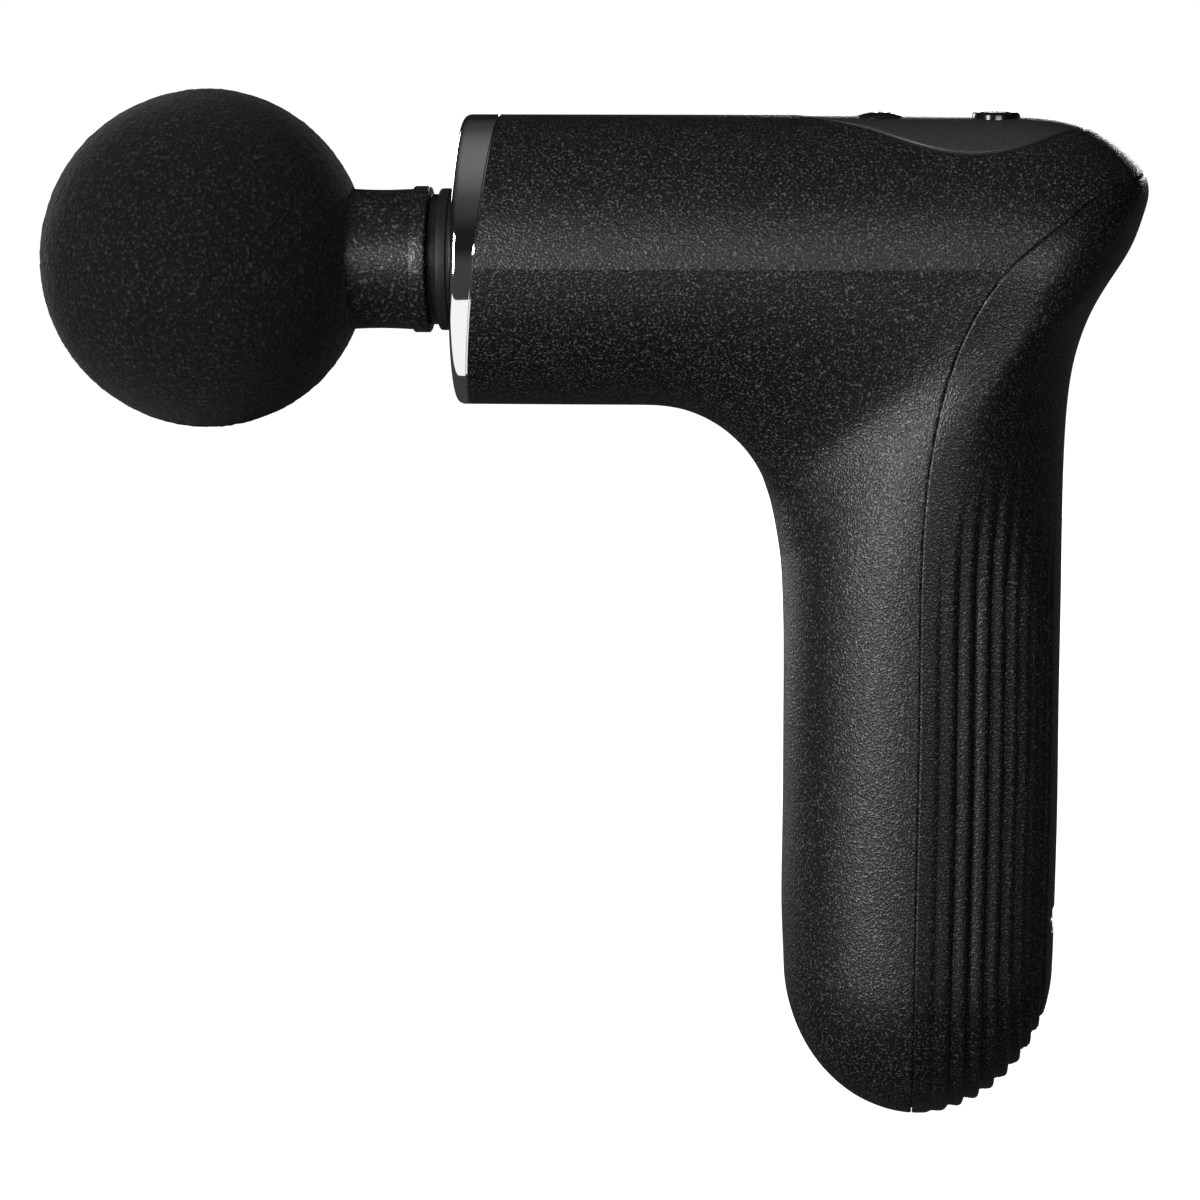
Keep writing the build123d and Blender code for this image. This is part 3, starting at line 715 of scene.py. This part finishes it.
def button_profile(rear):
    """Outline of a push button, as (height, radius), from its skirt to the middle of its top."""
    if rear:
        shape = [(18.0, 3.46), (21.25, 3.46), (21.50, 3.40), (21.66, 3.22), (21.72, 2.95), (21.70, 2.7)]
        return shape + [(dish_top(r), r) for r in (2.4, 1.8, 1.2, 0.6, 0.0)]
    shape = [(18.0, 3.46), (20.95, 3.46), (21.06, 3.40), (21.14, 3.25)]
    return shape + [(dome_top(r), r) for r in (3.0, 2.6, 2.2, 1.7, 1.2, 0.6, 0.0)]


def button(name, x, rear):
    """One push button, turned about its own upright axis."""
    profile = button_profile(rear)
    points, faces = [], []
    around = 72
    for k in range(around):
        a = 2 * pi * k / around
        points += [(x + r * cos(a), r * sin(a), z) for z, r in profile]
    n = len(profile)
    for k in range(around):
        here, there = k * n, (k + 1) % around * n
        faces += [(here + i, here + i + 1, there + i + 1, there + i) for i in range(n - 1)]
    faces.append(tuple(k * n for k in range(around)))
    piece = mesh_piece(name + "_button_cap", points, faces)
    tidy(piece, merge=0.002)
    sharp_edges(piece, 50)
    return piece


def button_marks(name, x, rear):
    """Pale marks printed on a button, as thin rounded bars just proud of it."""
    bars = [(0.0, 1.15, 0.42)] if rear else [(-1.3, 0.28, 0.42), (0.0, 0.28, 0.42), (1.3, 0.28, 0.42)]
    points, faces = [], []
    for dx, half_x, half_y in bars:
        base = len(points)
        outline = []
        for k in range(24):
            a = 2 * pi * k / 24
            px = half_x * np.sign(cos(a)) * abs(cos(a)) ** 0.5
            py = half_y * np.sign(sin(a)) * abs(sin(a)) ** 0.5
            outline.append((dx + px, py))
        for lift in (-0.12, 0.03):
            for px, py in outline:
                r = sqrt(px * px + py * py)
                top = dish_top(r) if rear else dome_top(r)
                points.append((x + px, py, top + lift))
        faces += [(base + i, base + (i + 1) % 24, base + 24 + (i + 1) % 24, base + 24 + i) for i in range(24)]
        faces.append(tuple(base + 24 + i for i in range(24)))
        faces.append(tuple(base + i for i in range(24))[::-1])
    piece = mesh_piece(name + "_button_print", points, faces)
    tidy(piece)
    sharp_edges(piece, 50)
    return piece


# ---------------------------------------------------------------- nose, stem and ball
def nose_ring():
    """The polished trim ring, with a leaning rear face."""
    collar_r, collar_x = 20.9, RING_BACK + 0.5
    outline = [(4.5, 15.5), (4.5, BARREL_R), (RING_BACK, BARREL_R), (RING_BACK, collar_r),
               (collar_x, collar_r), (collar_x, 20.3), (12.4, 18.7), (12.4, 17.0), (6.0, 17.0), (6.0, 15.5)]
    profile = rounded(outline, [0, 1.25, 0.22, 0, 0, 0, 0, 0, 0, 0], steps=10)
    profile = [(4.5, 15.5), (4.5, 16.4), (4.5, 17.6), (4.5, 18.8)] + profile[1:]

    def lean(x, z):
        share = min(max((x - 5.6) / (RING_BACK - 5.6), 0.0), 1.0)
        if x > RING_BACK + 0.01:
            share = max(1.0 - (x - RING_BACK) / 2.0, 0.0)
        return RING_TILT * z * (1 - share) * (x < 7) + RING_SLOPE * z * share

    ring = lathe("nose_ring_polished", profile, around=256, shift=lean)
    sharp_edges(ring, 40)
    return ring


def nose_plate():
    """The recessed black disc inside the ring."""
    outline = [(6.2, 11.7), (5.7, 13.2), (6.1, 16.9), (7.9, 16.9), (7.9, 10.5), (6.8, 10.5)]
    plate = lathe("nose_plate_disc", rounded(outline, [0, 0.5, 0, 0, 0, 0]), around=128)
    sharp_edges(plate)
    return plate


def dust_seal():
    """The soft rounded collar round the piston."""
    outline = [(1.35, 9.75), (1.35, 10.4), (2.9, 10.4), (3.2, 10.15), (3.5, 10.4), (7.9, 10.4), (7.9, 14.0),
               (9.4, 14.0), (9.4, 9.75)]
    seal = lathe("dust_seal_collar", rounded(outline, [0, 0.55, 0.14, 0.14, 0.14, 0.2, 0, 0, 0]), around=144)
    sharp_edges(seal, 50)
    return seal


def piston_neck():
    """The smooth dark piston tube with its open socket."""
    outline = [(0.05, 7.0), (0.05, 9.55), (40.0, 9.55), (40.0, 3.0), (26.0, 3.0), (26.0, 0.0), (16.0, 0.0),
               (16.0, 7.0)]
    neck = lathe("piston_sleeve", rounded(outline, [0, 0.35, 0.3, 0, 0, 0, 0, 0]), around=144)
    sharp_edges(neck)
    return neck


def head_stem():
    """The stem of the massage head: a faintly waisted barrel, a flange and the plug."""
    waist = [(x, 10.3 - 0.16 * sin(pi * (x + 11.8) / 9.2)) for x in np.linspace(-11.8, -2.75, 12)]
    outline = [(-22.0, 0.0), (-22.0, 10.25)] + waist
    outline += [(-2.45, 10.3), (-2.38, 10.62), (-2.2, 10.72), (-0.2, 10.72), (-0.02, 10.55), (-0.02, 6.94)]
    outline += [(3.0, 6.94), (3.0, 5.9), (4.6, 5.9), (4.6, 6.94), (9.0, 6.94), (9.0, 5.9), (10.6, 5.9),
                (10.6, 6.94), (13.2, 6.94), (14.0, 6.1), (14.0, 0.0)]
    stem = lathe("head_stem", outline, around=144)
    sharp_edges(stem, 40)
    return stem


def value_noise(points, scale, seed):
    """Smooth noise in -1 to 1 at points, the same on every run."""
    rng = np.random.default_rng(seed)
    table = rng.uniform(-1, 1, 4096)
    p = points * scale + 1000.0
    cell = np.floor(p).astype(int)
    f = p - cell
    f = f * f * (3 - 2 * f)
    total = np.zeros(len(points))
    for corner in range(8):
        o = np.array([corner & 1, corner >> 1 & 1, corner >> 2 & 1])
        c = cell + o
        weight = np.prod(np.where(o == 1, f, 1 - f), axis=1)
        index = (c[:, 0] * 73 + c[:, 1] * 179 + c[:, 2] * 283 + c[:, 0] * c[:, 1] * 31) % 4096
        total += weight * table[index]
    return total


def foam_ball():
    """The foam ball: round in front, a little flatter behind, with a pitted skin."""
    centre, front, radius, back = -32.9, 24.85, 24.85, 23.6
    profile = []
    for k in range(1, 181):
        a = pi * k / 181
        x = -cos(a) * (front if a < pi / 2 else back)
        r = radius * sin(a)
        if a > pi / 2 and r < 10.35:
            break
        profile.append((centre + x, r))
    around = 300
    points = [(centre - front, 0.0, 0.0)]
    for x, r in profile:
        points += [(x, r * sin(2 * pi * j / around), r * cos(2 * pi * j / around)) for j in range(around)]
    points = np.array(points)
    outward = points - np.array([centre, 0, 0])
    outward /= np.linalg.norm(outward, axis=1, keepdims=True)
    pits = value_noise(points, 1.9, 3) * 0.06 + value_noise(points, 0.9, 5) * 0.05
    pits += np.minimum(value_noise(points, 2.6, 8), 0.0) * 0.10 + value_noise(points, 0.12, 9) * 0.10
    points = points + outward * pits[:, None]
    faces = [(0, 1 + j, 1 + (j + 1) % around) for j in range(around)]
    for i in range(len(profile) - 1):
        for j in range(around):
            a, b = 1 + i * around + j, 1 + i * around + (j + 1) % around
            faces.append((a, a + around, b + around, b))
    last = 1 + (len(profile) - 1) * around
    tuck = len(points)
    ring = [(x - 2.0, y * 0.975, z * 0.975) for x, y, z in points[last:last + around]]
    points = np.concatenate([points, np.array(ring)])
    faces += [(last + j, tuck + j, tuck + (j + 1) % around, last + (j + 1) % around) for j in range(around)]
    faces.append(tuple(tuck + j for j in range(around)))
    ball = mesh_piece("foam_ball_skin", points, faces)
    tidy(ball)
    return ball


# ---------------------------------------------------------------- materials
def new_material(name):
    """An empty node material with its shader and output."""
    material = bpy.data.materials.new(name)
    material.use_nodes = True
    nodes = material.node_tree.nodes
    return material, nodes, material.node_tree.links, nodes["Principled BSDF"]


def noise(nodes, links, scale, detail=2.0, roughness=0.5, kind="ShaderNodeTexNoise"):
    """A noise or cell texture in object space."""
    where = nodes.new("ShaderNodeTexCoord")
    texture = nodes.new(kind)
    texture.inputs["Scale"].default_value = scale
    if kind == "ShaderNodeTexNoise":
        texture.inputs["Detail"].default_value = detail
        texture.inputs["Roughness"].default_value = roughness
    links.new(where.outputs["Object"], texture.inputs["Vector"])
    return texture


def ramp(nodes, links, source, stops):
    """A colour ramp over a texture; each stop is (place, colour)."""
    node = nodes.new("ShaderNodeValToRGB")
    elements = node.color_ramp.elements
    while len(elements) < len(stops):
        elements.new(0.5)
    for element, (place, colour) in zip(elements, stops):
        element.position = place
        element.color = (*colour, 1.0)
    links.new(source, node.inputs["Fac"])
    return node


def grey(value, warm=0.0):
    """A near-neutral colour, a little warm or cool."""
    return (value * (1 + warm), value, value * (1 - warm))


def bump(nodes, links, height, strength, distance, shader):
    """A bump from a texture's height, in millimetres."""
    node = nodes.new("ShaderNodeBump")
    node.inputs["Strength"].default_value = strength
    node.inputs["Distance"].default_value = distance * MM
    links.new(height, node.inputs["Height"])
    links.new(node.outputs["Normal"], shader.inputs["Normal"])


def grained_plastic(name, dark, light, rough, grain, depth, painted_glint=0.0, warm=0.0, spread=0.04):
    """Moulded plastic with a fine spark-eroded grain that glitters where light catches it through its bump
    and roughness; its pale specks of base colour are painted glints.
    """
    material, nodes, links, shader = new_material(name)
    fine = noise(nodes, links, 1000.0 / grain, detail=1.0, roughness=0.6)
    # the top stop adds painted glints: pale specks in the base colour that stand in for the grain's sparkle
    tones = [(0.42, grey(dark, warm)), (0.58, grey(light, warm)), (0.72, grey(light + painted_glint, warm))]
    colour = ramp(nodes, links, fine.outputs["Fac"], tones)
    links.new(colour.outputs["Color"], shader.inputs["Base Color"])
    polish = [(0.35, grey(rough + spread)), (0.68, grey(rough - spread))]
    gloss = ramp(nodes, links, fine.outputs["Fac"], polish)
    links.new(gloss.outputs["Color"], shader.inputs["Roughness"])
    bump(nodes, links, fine.outputs["Fac"], 1.0, depth, shader)
    return material


def blend_colours(nodes, links, kind, first, output, second):
    """Mix the colour of one node with the colour ramp of another."""
    mix = nodes.new("ShaderNodeMix")
    mix.data_type = "RGBA"
    mix.blend_type = kind
    mix.inputs["Factor"].default_value = 1.0
    links.new(first.outputs[output], mix.inputs["A"])
    links.new(second.outputs["Color"], mix.inputs["B"])
    return mix


def foam_material():
    """Closed-cell foam: very dull, with open pores and a few pale specks."""
    material, nodes, links, shader = new_material("foam_skin")
    fine = noise(nodes, links, 1900.0, detail=2.0, roughness=0.6)
    specks = noise(nodes, links, 2600.0, kind="ShaderNodeTexVoronoi")
    patches = noise(nodes, links, 90.0, detail=3.0)
    tones = [(0.42, grey(0.001)), (0.57, grey(0.006)), (0.70, grey(0.045))]
    base = ramp(nodes, links, fine.outputs["Fac"], tones)
    tint = ramp(nodes, links, patches.outputs["Fac"], [(0.3, grey(0.75)), (0.7, grey(1.0))])
    dots = ramp(nodes, links, specks.outputs["Distance"], [(0.06, grey(0.060)), (0.14, grey(0.0))])
    shaded = blend_colours(nodes, links, "MULTIPLY", base, "Color", tint)
    speckled = blend_colours(nodes, links, "ADD", shaded, "Result", dots)
    links.new(speckled.outputs["Result"], shader.inputs["Base Color"])
    shader.inputs["Roughness"].default_value = 0.9
    shader.inputs["Specular IOR Level"].default_value = 0.25
    shader.inputs["Sheen Weight"].default_value = 0.06
    shader.inputs["Sheen Roughness"].default_value = 0.5
    bump(nodes, links, fine.outputs["Fac"], 1.0, 0.34, shader)
    return material


def metal(name, colour, rough, streak, depth, spread=0.05):
    """Bare or plated metal with faint machining marks."""
    material, nodes, links, shader = new_material(name)
    marks = noise(nodes, links, streak, detail=4.0)
    tone = ramp(nodes, links, marks.outputs["Fac"], [(0.3, tuple(0.94 * c for c in colour)), (0.7, colour)])
    polish = [(0.3, grey(max(rough - spread, 0.02))), (0.7, grey(rough + spread))]
    gloss = ramp(nodes, links, marks.outputs["Fac"], polish)
    links.new(tone.outputs["Color"], shader.inputs["Base Color"])
    links.new(gloss.outputs["Color"], shader.inputs["Roughness"])
    shader.inputs["Metallic"].default_value = 1.0
    bump(nodes, links, marks.outputs["Fac"], 0.4, depth, shader)
    return material


def coloured_plastic(name, colour, rough, metallic=0.0):
    """Plain coloured plastic, lacquer or board with a slight mottling."""
    material, nodes, links, shader = new_material(name)
    cloud = noise(nodes, links, 260.0, detail=4.0)
    tone = ramp(nodes, links, cloud.outputs["Fac"], [(0.3, tuple(0.82 * c for c in colour)), (0.7, colour)])
    gloss = ramp(nodes, links, cloud.outputs["Fac"], [(0.3, grey(rough)), (0.7, grey(rough + 0.08))])
    links.new(tone.outputs["Color"], shader.inputs["Base Color"])
    links.new(gloss.outputs["Color"], shader.inputs["Roughness"])
    shader.inputs["Metallic"].default_value = metallic
    bump(nodes, links, cloud.outputs["Fac"], 0.2, 0.02, shader)
    return material


MATERIALS = {
    # the speck amounts below are painted glints: pale base-colour specks that stand in for the grain's
    # sparkle
    "shell_black": grained_plastic("shell_grain", 0.001, 0.014, 0.38, 0.33, 0.13, painted_glint=0.12, spread=0.10),
    "shell_satin": grained_plastic("shell_smooth", 0.001, 0.012, 0.32, 0.33, 0.09, painted_glint=0.07, spread=0.08),
    "panel_black": grained_plastic("panel_smooth", 0.042, 0.058, 0.42, 0.30, 0.012, painted_glint=0.01, warm=0.06),
    "chrome_trim": metal("polished_chrome", (0.90, 0.90, 0.91), 0.035, 30.0, 0.001, spread=0.015),
    "black_plastic": grained_plastic("inner_plastic", 0.010, 0.020, 0.50, 0.40, 0.020),
    "black_rubber": grained_plastic("soft_rubber", 0.007, 0.014, 0.55, 0.50, 0.015),
    "bush_plastic": coloured_plastic("bush_nylon", (0.72, 0.72, 0.69), 0.35),
    "foam_black": foam_material(),
    "head_plastic": grained_plastic("stem_grain", 0.002, 0.016, 0.36, 0.50, 0.14, painted_glint=0.08, spread=0.10),
    "piston_black": grained_plastic("piston_anodised", 0.010, 0.016, 0.26, 0.60, 0.004),
    "cast_aluminium": metal("cast_aluminium", (0.62, 0.63, 0.65), 0.42, 900.0, 0.02),
    "steel": metal("machined_steel", (0.56, 0.57, 0.59), 0.30, 500.0, 0.008),
    "copper": metal("copper_wire", (0.80, 0.38, 0.20), 0.30, 1500.0, 0.03),
    "button_gloss": grained_plastic("button_gloss", 0.006, 0.010, 0.16, 0.80, 0.002),
    "mark_white": coloured_plastic("white_print", (0.80, 0.80, 0.80), 0.40),
    "switch_plastic": coloured_plastic("switch_plastic", (0.05, 0.05, 0.055), 0.45),
    "circuit_board": coloured_plastic("green_board", (0.03, 0.19, 0.08), 0.35),
    "cell_wrap": coloured_plastic("cell_wrap", (0.05, 0.20, 0.45), 0.30),
    "nickel": metal("nickel_strip", (0.72, 0.70, 0.66), 0.28, 400.0, 0.004),
    "wire_sleeve": coloured_plastic("wire_sleeve", (0.36, 0.03, 0.03), 0.45),
}


def finish_piece(piece, body, slot, *nodes):
    """Give a piece its material and its body, and hide the CAD nodes it stands for."""
    piece.data.materials.clear()
    piece.data.materials.append(MATERIALS[slot])
    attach(piece, body)
    if nodes:
        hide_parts(*nodes)


def dress_cad_nodes():
    """Every carried-over CAD node gets the worked-out material of its slot."""
    slots = {row["node"]: row.get("material_slot", row["node"]) for row in frame["record"]["subparts"]}
    for name, node in frame["nodes"].items():
        for place in node.material_slots:
            place.material = MATERIALS[slots[name]]


# ---------------------------------------------------------------- the camera, floor and lights
def aim(thing, place, target):
    """Put a lamp or camera at a place, looking at a target, both in millimetres."""
    thing.location = Vector(place) * MM
    thing.rotation_euler = (Vector(target) - Vector(place)).to_track_quat("-Z", "Y").to_euler()


MIDDLE = Vector((30.0, 0.0, -45.0))


def make_camera():
    """A long lens from the side, a little behind and above."""
    target = Vector((24.8, 0.0, -50.3))
    azimuth, elevation, distance = radians(3.8), radians(7.8), 675.0
    back = Vector((sin(azimuth) * cos(elevation), -cos(azimuth) * cos(elevation), sin(elevation)))
    data = bpy.data.cameras.new("camera")
    data.lens = 136.8
    data.sensor_width = 36.0
    data.clip_end = 20.0
    camera = bpy.data.objects.new("camera", data)
    bpy.context.scene.collection.objects.link(camera)
    aim(camera, target + back * distance, target)
    bpy.context.scene.camera = camera


def lamp(name, place, target, size, power):
    """A rectangular soft white light that the camera doesn't see."""
    data = bpy.data.lights.new(name, "AREA")
    data.shape = "RECTANGLE"
    data.size, data.size_y = size[0] * MM, size[1] * MM
    data.energy = power
    light = bpy.data.objects.new(name, data)
    bpy.context.scene.collection.objects.link(light)
    aim(light, place, target)
    light.visible_camera = False
    return light


def from_middle(azimuth, elevation, distance):
    """A place at an azimuth, elevation and distance from the middle of the object."""
    a, e = radians(azimuth), radians(elevation)
    return MIDDLE + distance * Vector((sin(a) * cos(e), -cos(a) * cos(e), sin(e)))


def make_stage():
    """A level white floor and soft studio lights, with a dimmer pair behind the object."""
    floor_z = cad_box[0][2] / MM - 0.1
    half = 6000.0
    corners = [(-half, -half, floor_z), (half, -half, floor_z), (half, half, floor_z), (-half, half, floor_z)]
    floor = mesh_piece("studio_floor", corners, [(0, 1, 2, 3)])
    material, nodes, links, shader = new_material("studio_white")
    cloud = noise(nodes, links, 2.0)
    tone = ramp(nodes, links, cloud.outputs["Fac"], [(0.3, grey(0.90)), (0.7, grey(0.92))])
    links.new(tone.outputs["Color"], shader.inputs["Base Color"])
    links.new(tone.outputs["Color"], shader.inputs["Emission Color"])
    shader.inputs["Emission Strength"].default_value = 1.12
    shader.inputs["Roughness"].default_value = 0.9
    shader.inputs["Specular IOR Level"].default_value = 0.0
    floor.data.materials.append(material)
    floor.visible_glossy = False
    floor.visible_diffuse = False
    for turn, side in ((0, 1), (180, -1)):
        lamp("key", from_middle(turn - 38 * side, 10, 900), MIDDLE, (240, 420), 6.4 if side > 0 else 2.8)
        lamp("fill", from_middle(turn + 14 * side, 12, 900), MIDDLE, (420, 90), 1.5)
    make_world()
    bpy.context.scene.view_settings.view_transform = "Standard"


def ring_reflector(ring):
    """A low white card in front that only the polished ring mirrors."""
    card = lamp("ring_card", (-20.0, -115.0, -125.0), (-20.0, -115.0, 500.0), (500, 250), 0.38)
    lit = bpy.data.collections.new("ring_card_receivers")
    lit.objects.link(ring)
    card.light_linking.receiver_collection = lit


def make_world():
    """Dim surroundings, paler overhead, that are plain white where nothing stands in front of them."""
    world = bpy.data.worlds.new("studio")
    bpy.context.scene.world = world
    world.use_nodes = True
    nodes, links = world.node_tree.nodes, world.node_tree.links
    around = nodes["Background"]
    around.inputs["Strength"].default_value = 1.0
    where = nodes.new("ShaderNodeTexCoord")
    split = nodes.new("ShaderNodeSeparateXYZ")
    links.new(where.outputs["Generated"], split.inputs["Vector"])
    tones = [(0.0, grey(0.05)), (0.2, grey(0.012)), (0.45, grey(0.014)), (0.8, grey(0.06)), (1.0, grey(0.16))]
    sky = ramp(nodes, links, split.outputs["Z"], tones)
    links.new(sky.outputs["Color"], around.inputs["Color"])
    seen = nodes.new("ShaderNodeBackground")
    seen.inputs["Strength"].default_value = 1.0
    seen.inputs["Color"].default_value = (1, 1, 1, 1)
    path = nodes.new("ShaderNodeLightPath")
    mix = nodes.new("ShaderNodeMixShader")
    links.new(path.outputs["Is Camera Ray"], mix.inputs["Fac"])
    links.new(around.outputs["Background"], mix.inputs[1])
    links.new(seen.outputs["Background"], mix.inputs[2])
    links.new(mix.outputs["Shader"], nodes["World Output"].inputs["Surface"])


# ---------------------------------------------------------------- putting it together
make_camera()
make_stage()
dress_cad_nodes()

whole_top = mirrored("whole_top", [barrel_grid(side_spread())])
panel, rim = panel_and_rim(surface_bvh(whole_top))
bpy.data.objects.remove(whole_top)
front = front_shell()
thicken(front)
absorb(front, rim)
sharp_edges(front, 40)
finish_piece(front, "casing", "shell_black", "front_shell")

rear = rear_shell()
thicken(rear)
cut(rear, port_opening())
absorb(rear, inner_lip())
sharp_edges(rear, 50)
finish_piece(rear, "casing", "shell_satin", "rear_shell")

for side, place in BUTTONS:
    turns = [2 * pi * k / 72 for k in range(72)]
    hole = [(place + BUTTON_HOLE_R * cos(a), BUTTON_HOLE_R * sin(a)) for a in turns]
    cut(panel, prism("button_hole", hole, 10.0, 30.0))
sharp_edges(panel, 35)
finish_piece(panel, "casing", "panel_black", "control_panel")

for side, place in BUTTONS:
    is_rear = side == "rear"
    finish_piece(button(side, place, is_rear), side + "_key", "button_gloss", side + "_button")
    finish_piece(button_marks(side, place, is_rear), side + "_key", "mark_white", side + "_button_marks")

ring = nose_ring()
ring_reflector(ring)
finish_piece(ring, "casing", "chrome_trim", "nose_ring")
finish_piece(nose_plate(), "casing", "black_plastic", "nose_plate")
finish_piece(dust_seal(), "casing", "black_rubber", "dust_seal")
finish_piece(piston_neck(), "piston", "piston_black", "piston_tube")
finish_piece(head_stem(), "massage_head", "head_plastic", "head_core")
ball = foam_ball()
finish_piece(ball, "massage_head", "foam_black", "foam_ball")
